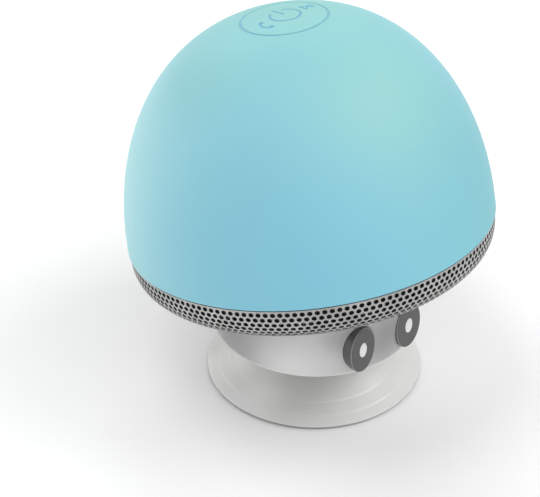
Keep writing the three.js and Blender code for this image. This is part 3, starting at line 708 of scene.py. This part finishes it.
def make_grille():
    """The perforated bowl: every hole sits in a cell with 12 points on its edge, rows are staggered by
    half a cell so that neighbours share their points, and the two skins are joined at the holes."""
    arc = np.vstack([[BOWL_RADIUS, GRILLE_TOP], bowl_arc(0, BOWL_HOLE, 1500)])
    length = np.concatenate([[0], np.cumsum(np.linalg.norm(np.diff(arc, axis=0), axis=1))])
    tangent = np.gradient(arc, length, axis=0)
    tangent /= np.linalg.norm(tangent, axis=1)[:, None]
    inwards = np.c_[tangent[:, 1], -tangent[:, 0]]
    if inwards[0, 0] > 0:
        inwards = -inwards
    flat, faces, walls = [], [], []

    def add_ring(s, turns):
        """Vertices at arc length s; returns the index of the first."""
        first = len(flat)
        flat.extend((s, t) for t in turns)
        return first

    def evenly(count):
        return np.arange(count) * 2 * math.pi / count

    def band(first, second, count):
        for k in range(count):
            m = (k + 1) % count
            faces.append((first + k, first + m, second + m, second + k))

    s = HEM
    rim_count = 4 * GRILLE_ZONES[0][2]
    rim = add_ring(0, evenly(rim_count))
    last_ring, last_count = rim, rim_count
    for zone, (rows, pitch, holes) in enumerate(GRILLE_ZONES):
        quarters = 4 * holes
        ring = add_ring(s, evenly(quarters))
        if zone == 0:
            band(last_ring, ring, quarters)
        else:
            for group in range(quarters // 3):
                above = [last_ring + (4 * group + k) % last_count for k in range(5)]
                below = [ring + (3 * group + k) % quarters for k in range(4)]
                faces.append(tuple(above + below[::-1]))
        for row in range(rows):
            middle, bottom = s + pitch / 2, s + pitch
            shift = 2 * (row % 2)
            width = 2 * math.pi / holes
            radius = float(np.interp(middle, length, arc[:, 0]))
            wide, tall = min(HOLE_HALF[0], 0.37 * width * radius), HOLE_HALF[1]
            below = add_ring(bottom, evenly(quarters))
            sides = add_ring(middle, (np.arange(holes) + 0.5 + shift / 4) * width)
            for i in range(holes):
                centre = 4 * i + shift
                edge = [ring + (centre + k) % quarters for k in (-2, -1, 0, 1, 2)]
                edge.append(sides + i)
                edge += [below + (centre + k) % quarters for k in (2, 1, 0, -1, -2)]
                edge.append(sides + (i - 1) % holes)
                spots = [(k / 4, -0.5) for k in (-2, -1, 0, 1, 2)]
                spots += [(0.5, 0)] + [(-a, -b) for a, b in spots] + [(-0.5, 0)]
                first = len(flat)
                for a, b in spots:
                    way = math.atan2(b * pitch, a * width * radius)
                    turn = centre / 4 * width + wide * math.cos(way) / radius
                    flat.append((middle + tall * math.sin(way), turn))
                for k in range(12):
                    m = (k + 1) % 12
                    faces.append((edge[k], edge[m], first + m, first + k))
                    walls.append((first + k, first + m))
            ring, s = below, bottom
        last_ring, last_count = ring, quarters
        s += ZONE_GAP
    inner_ring = add_ring(length[-1], evenly(last_count))
    band(last_ring, inner_ring, last_count)

    flat = np.array(flat)
    count = len(flat)
    ends = [(rim, rim_count, 1), (inner_ring, last_count, -1)]
    for first, around, way in ends:
        ring = [(first + k, first + (k + 1) % around) for k in range(around)]
        walls.extend(ring if way > 0 else [(b, a) for a, b in ring])
    spot, turn = flat[:, 0], flat[:, 1]
    skins = []
    for depth in (0, BOWL_SHEET):
        r = np.interp(spot, length, arc[:, 0] + depth * inwards[:, 0])
        h = np.interp(spot, length, arc[:, 1] + depth * inwards[:, 1])
        skins.append(np.c_[r * np.cos(turn), r * np.sin(turn), h])
    back = [tuple(count + v for v in reversed(face)) for face in faces]
    sides = [(b, a, count + a, count + b) for a, b in walls]
    grille = mesh_object("perforated_grille", np.vstack(skins), faces + back + sides, HEAD, sharp=40)
    return finish_piece(grille, "grille_steel", "housing", "grille")


# ------------------------------------------------------------------ stem


def rounded_prism(half_x, half_z, corner, z, low_y, high_y, steps=6):
    """A block with rounded upright corners seen along Y, centred on x 0 and height z."""
    corners = [(-half_x, -half_z), (half_x, -half_z), (half_x, half_z), (-half_x, half_z)]
    outline = rounded([(a, b, corner) for a, b in corners], steps)
    count = len(outline)
    verts = [(a, y, z + b) for y in (low_y, high_y) for a, b in outline]
    faces = [tuple(range(count)), tuple(range(2 * count - 1, count - 1, -1))]
    faces += [(k, count + k, count + (k + 1) % count, (k + 1) % count) for k in range(count)]
    return np.array(verts), faces


def on_circle(radius, degrees):
    return radius * math.cos(math.radians(degrees)), radius * math.sin(math.radians(degrees))


def stem_solid(grow=0.0):
    """The stem's outside as a solid of revolution, with its rounded lower edge."""
    slope = (STEM_HIGH_RADIUS - STEM_LOW_RADIUS) / (STEM_HIGH - STEM_BOTTOM - STEM_ROUNDING)
    low, side = STEM_BOTTOM - grow, STEM_HIGH_RADIUS + grow
    foot = STEM_LOW_RADIUS + grow - slope * STEM_ROUNDING
    corners = [(0, low, 0), (foot, low, STEM_ROUNDING), (side, STEM_HIGH, 0), (0, STEM_HIGH, 0)]
    return revolve(rounded(corners, 14), 256)


def flap_blank(grow):
    return rounded_prism(FLAP_HALF[0] + grow, FLAP_HALF[1] + grow, 0.9 + grow, PORT_Z, 10, 20, 8)


def make_stem():
    """The white stem: hollow below its deck, cut to the bowl's underside, with its holes at the back."""
    gap = 0.04
    recess_radius = 13.7
    stem = mesh_object("stem_shell", *stem_solid(), sharp=40)
    room = revolve([(0, 4), (BOWL_RADIUS + gap, 4), *bowl_arc(-gap, 0, 60)], 256)

    bore = mesh_object("bore", *revolve([(0, 5), (STEM_BORE, 5), (STEM_BORE, 30), (0, 30)], 192))
    slab = block((-30, -30, DECK_LOW), (30, 30, 30))
    combine(bore, [(*slab, HEAD)], "DIFFERENCE")

    base_places = [on_circle(BASE_SCREW_CIRCLE, turn) for turn in BASE_SCREW_TURNS]
    hub_places = [on_circle(HUB_SCREW_CIRCLE, turn) for turn in HUB_SCREW_TURNS]
    posts = [(*rod(POST_RADIUS, POST_LOW, 16, *place, 32), None) for place in base_places]
    openings = [(*room, HEAD)]
    openings += [(*rod(HUB_HOLE, -16, 0, *place, 24), HEAD) for place in hub_places]
    openings += [(*rod(WIRE_HOLE, -16, 0), HEAD)]
    openings += [(*rod(SCREW_HOLE, 9, 12.3, *place, 24), None) for place in base_places]
    openings += [(*rounded_prism(*PORT_HALF, 1.2, PORT_Z, 7.4, 20), None)]
    openings += [(*spoke(LIGHT_HOLE, 11, 20, LIGHT_TURN, PORT_Z), None)]
    openings += [(*spoke(MIC_HOLE, 11, 20, MIC_TURN, PORT_Z), None)]
    combine(stem, [as_tool(bore)], "DIFFERENCE")
    combine(stem, posts, "UNION")
    combine(stem, openings, "DIFFERENCE")

    recess = mesh_object("recess", *flap_blank(0.12))
    core = revolve([(0, 0), (recess_radius, 0), (recess_radius, 30), (0, 30)], 256)
    combine(recess, [(*core, None)], "DIFFERENCE")
    combine(stem, [as_tool(recess)], "DIFFERENCE")
    smooth_by_angle(stem, 40)
    return finish_piece(stem, "stem_plastic", "housing", "stem_housing")


def make_flap():
    """The silicone flap over the port: a curved skin, a plug behind it and a thumb nib at one end."""
    def ring(inner, outer):
        return *revolve([(inner, 5), (outer, 5), (outer, 20), (inner, 20)], 256), None
    flap = mesh_object("port_flap", *flap_blank(0), sharp=40)
    combine(flap, [ring(14.0, 14.55)], "INTERSECT")
    nib = mesh_object("nib", *block((4.3, 13.4, PORT_Z - 0.7), (FLAP_HALF[0] - 0.1, 20, PORT_Z + 0.7)))
    combine(nib, [ring(14.2, 15.15)], "INTERSECT")
    plug = rounded_prism(3.3, 1.1, 0.7, PORT_Z, 13.05, 14.2)
    combine(flap, [as_tool(nib), (*plug, None)], "UNION")
    bevel = flap.modifiers.new("edges", "BEVEL")
    bevel.width = FLAP_BEVEL * MM
    bevel.segments = 3
    bevel.angle_limit = math.radians(40)
    smooth_by_angle(flap, 40)
    return finish_piece(flap, "flap_silicone", "flap", "charging_flap")


def make_light_pipe():
    """The status light's clear lens, slightly domed, flush with the stem's wall."""
    verts, faces = revolve(rounded([(0, 12, 0), (0.85, 12, 0.05), (0.85, 14.4, 0.2), (0, 14.5, 0)], 5), 48)
    turn = Matrix.Rotation(math.radians(LIGHT_TURN), 3, "Z") @ Matrix.Rotation(math.pi / 2, 3, "Y")
    verts = verts @ np.array(turn).T + np.array([0, 0, PORT_Z])
    lens = mesh_object("status_lens", verts, faces)
    return finish_piece(lens, "clear_lens", "housing", "status_light_pipe")


# ------------------------------------------------------------------ eyes


def oval_plate(name, x, z, half, front, back, rounding, steps=6, around=96):
    """An oval plate that faces -Y, with a rounded front edge."""
    turn = np.linspace(0, 2 * math.pi, around, endpoint=False)
    layers = [(rounding + 0.05, front)]
    for k in range(steps + 1):
        t = math.pi / 2 * k / steps
        layers.append((rounding * (1 - math.sin(t)), front + rounding * (1 - math.cos(t))))
    layers += [(0, back - 0.05), (0, back)]
    verts, faces = [], []
    for inset, y in layers:
        a, b = half[0] - inset, half[1] - inset
        verts.extend((x + a * math.cos(t), y, z + b * math.sin(t)) for t in turn)
    for i in range(len(layers) - 1):
        for k in range(around):
            m = (k + 1) % around
            faces.append((i * around + k, (i + 1) * around + k, (i + 1) * around + m, i * around + m))
    faces.append(tuple(range(around)))
    faces.append(tuple((len(layers) - 1) * around + k for k in reversed(range(around))))
    return mesh_object(name, verts, faces, sharp=50)


def make_eyes():
    """Two dark oval plates that reach the stem's wall, each with a white oval dot set in its middle."""
    pocket_half = DOT_HALF[0] + DOT_GAP, DOT_HALF[1] + DOT_GAP
    for side, name in ((-1, "left_eye"), (1, "right_eye")):
        x = side * EYE_X
        plate = oval_plate(name + "_plate", x, EYE_Z, EYE_HALF, EYE_FRONT, EYE_BACK, EYE_ROUNDING)
        pocket_floor = EYE_FRONT + DOT_DEPTH + DOT_GAP
        pocket = oval_plate("pocket", x, EYE_Z, pocket_half, EYE_FRONT - 1, pocket_floor, 0.0)
        combine(plate, [(*stem_solid(0.01), None), as_tool(pocket)], "DIFFERENCE")
        smooth_by_angle(plate, 40)
        finish_piece(plate, "eye_plastic", "housing", name)
        dot_front, dot_back = EYE_FRONT - 0.02, EYE_FRONT + DOT_DEPTH
        dot = oval_plate(name + "_pupil", x, EYE_Z, DOT_HALF, dot_front, dot_back, 0.08)
        finish_piece(dot, "dot_plastic", "housing", name + "_dot")


# ------------------------------------------------------------------ suction cup

# The bell's outside from lip to neck, and its hollow underside from the axis out, as (r, z) points on a
# smooth curve. The outside steps down a little at two radii.
CUP_OUTSIDE = [
    (14.9, 0.82), (12.8, 1.6), (11.4, 2.26), (10.1, 3.1), (9, 4.2), (8.2, 5.5), (7.8, 6.8), (7.62, 7.5),
]
CUP_UNDERSIDE = [(0, 3.3), (5, 3.1), (9, 2.1), (12.4, 0.8), (14.2, 0)]
CUP_STEPS = (11.7, 13.6)
STEP_DROP, STEP_RUN = 0.07, 0.12


def make_cup():
    """The suction cup: a thin lip, a smooth flared bell, and the neck and knob that hold it in."""
    bell = smooth_curve(CUP_OUTSIDE, 16)
    for r in CUP_STEPS:
        bell[:, 1] -= STEP_DROP * np.clip((bell[:, 0] - r) / STEP_RUN, 0, 1)
    under = smooth_curve([(-5, 3.1), *CUP_UNDERSIDE], 8)
    under = under[under[:, 0] > 0.05]
    lip = [(14.2, 0, 0), (14.75, 0, 0.1), (CUP_RADIUS, LIP_LOW, 0.06), (CUP_RADIUS, LIP_HIGH, 0.1)]
    lip = rounded([*lip, (14.9, 0.72, 0)], 5, False)
    neck = [
        (7.62, 7.5, 0), (7.55, 8, 0.35), (CUP_NECK, 8, 0.1), (CUP_NECK, 9.85, 0.05),
        (CUP_KNOB, 9.85, 0.2), (CUP_KNOB, 10.5, 0.25), (3.2, 11.1, 0.3), (0, 11.1, 0),
    ]
    outline = np.vstack([CUP_UNDERSIDE[:1], under[:-1], lip[:-1], bell[:-1], rounded(neck, 5, False)])
    cup = mesh_object("suction_bell", *revolve(outline, 256), sharp=60)
    return finish_piece(cup, "cup_silicone", "cup", "suction_cup")


# ------------------------------------------------------------------ carried-over nodes


def paint_frame():
    """Every CAD node gets the finish of its own slot in the record."""
    slots = {part["node"]: part["material_slot"] for part in frame["record"]["subparts"]}
    for name, obj in frame["nodes"].items():
        obj.data.materials.clear()
        obj.data.materials.append(SLOTS[slots[name]])


# ------------------------------------------------------------------ studio

FLOOR_RADIUS = 1000


def make_floor():
    """A plain pale round floor. A low view sees past its edge, to the equally pale world."""
    n = Nodes("studio_floor")
    n.set(Base_Color=n.mix(n.noise(40, 2), linear(252, 252, 252), linear(254, 254, 254)), Roughness=0.6)
    n.set(Specular_IOR_Level=0.1)
    turn = np.linspace(0, 2 * math.pi, 96, endpoint=False)
    edge = np.c_[FLOOR_RADIUS * np.cos(turn), FLOOR_RADIUS * np.sin(turn), np.zeros(96)]
    floor = mesh_object("studio_floor_disc", edge, [tuple(range(96))])
    floor.data.materials.append(n.material)


# Soft lights: name, azimuth, elevation, distance and diameter in metres, watts.
LIGHTS = [
    ("rear_left_box", -175.8, 30, 1.5, 0.86, 4.2),
    ("right_box", 49.2, 50, 1.5, 0.86, 5.8),
    ("low_right_box", 49.2, 12, 1.5, 0.86, 1.5),
    ("high_left_box", -130.8, 70, 1.5, 0.86, 4.7),
    ("left_box", -113.0, 30, 1.5, 0.86, 0.8),
    ("front_box", 4.2, 50, 1.5, 0.86, 2.5),
    ("camera_box", -40.8, 50, 1.5, 0.86, 3.3),
    ("rear_box", 139.2, 30, 1.5, 0.86, 5.6),
]
AMBIENT = 0.35  # how strongly the white world lights the scene
BACKDROP = 0.92  # how bright the world looks where nothing hides it
# Where the camera looks and how far away it is, in millimetres, and which way it stands, in degrees.
CAMERA_AIM = (-4.77, 4.11, 19.96)
CAMERA_AZIMUTH, CAMERA_ELEVATION, CAMERA_DISTANCE = -40.77, 35.22, 305.2
CAMERA_LENS = 146.67


def direction(azimuth, elevation):
    """The way from the object to a place at an azimuth (0 in front, 90 on the +X side) and elevation."""
    a, e = math.radians(azimuth), math.radians(elevation)
    return Vector((math.sin(a) * math.cos(e), -math.cos(a) * math.cos(e), math.sin(e)))


def look_back(obj, way, target, distance):
    """Puts a light or camera at a distance from the target, and turns it to look at it."""
    obj.location = target + distance * way
    obj.rotation_euler = (-way).to_track_quat("-Z", "Y").to_euler()


def soft_box(name, azimuth, elevation, distance, size, watts):
    """A round soft light that shines at the middle of the object and that the camera doesn't see."""
    light = bpy.data.lights.new(name, "AREA")
    light.shape = "DISK"
    light.size = size
    light.energy = watts
    obj = bpy.data.objects.new(name, light)
    bpy.context.scene.collection.objects.link(obj)
    look_back(obj, direction(azimuth, elevation), Vector((0, 0, 0.025)), distance)
    obj.visible_camera = False


def make_studio():
    """A white world that looks brighter than it shines, round soft lights and plain colours."""
    world = bpy.data.worlds.new("studio")
    bpy.context.scene.world = world
    world.use_nodes = True
    background = world.node_tree.nodes["Background"]
    background.inputs["Color"].default_value = (1, 1, 1, 1)
    background.inputs["Strength"].default_value = AMBIENT
    seen = world.node_tree.nodes.new("ShaderNodeBackground")
    seen.inputs["Color"].default_value = (1, 1, 1, 1)
    seen.inputs["Strength"].default_value = BACKDROP
    path = world.node_tree.nodes.new("ShaderNodeLightPath")
    mix = world.node_tree.nodes.new("ShaderNodeMixShader")
    link = world.node_tree.links.new
    link(path.outputs["Is Camera Ray"], mix.inputs[0])
    link(background.outputs[0], mix.inputs[1])
    link(seen.outputs[0], mix.inputs[2])
    link(mix.outputs[0], world.node_tree.nodes["World Output"].inputs[0])
    for light in LIGHTS:
        soft_box(*light)
    view = bpy.context.scene.view_settings
    view.view_transform = "Standard"
    view.look = "None"


def make_camera():
    """Looks down at the speaker from its front left, with a long lens."""
    camera = bpy.data.objects.new("camera", bpy.data.cameras.new("camera"))
    bpy.context.scene.collection.objects.link(camera)
    camera.data.sensor_width = 36
    camera.data.lens = CAMERA_LENS
    camera.data.clip_start = 0.01
    way = direction(CAMERA_AZIMUTH, CAMERA_ELEVATION)
    look_back(camera, way, MM * Vector(CAMERA_AIM), MM * CAMERA_DISTANCE)
    bpy.context.scene.camera = camera


make_camera()
make_studio()
make_floor()
paint_frame()
make_cap()
make_button()
make_grille()
make_stem()
make_flap()
make_light_pipe()
make_eyes()
make_cup()
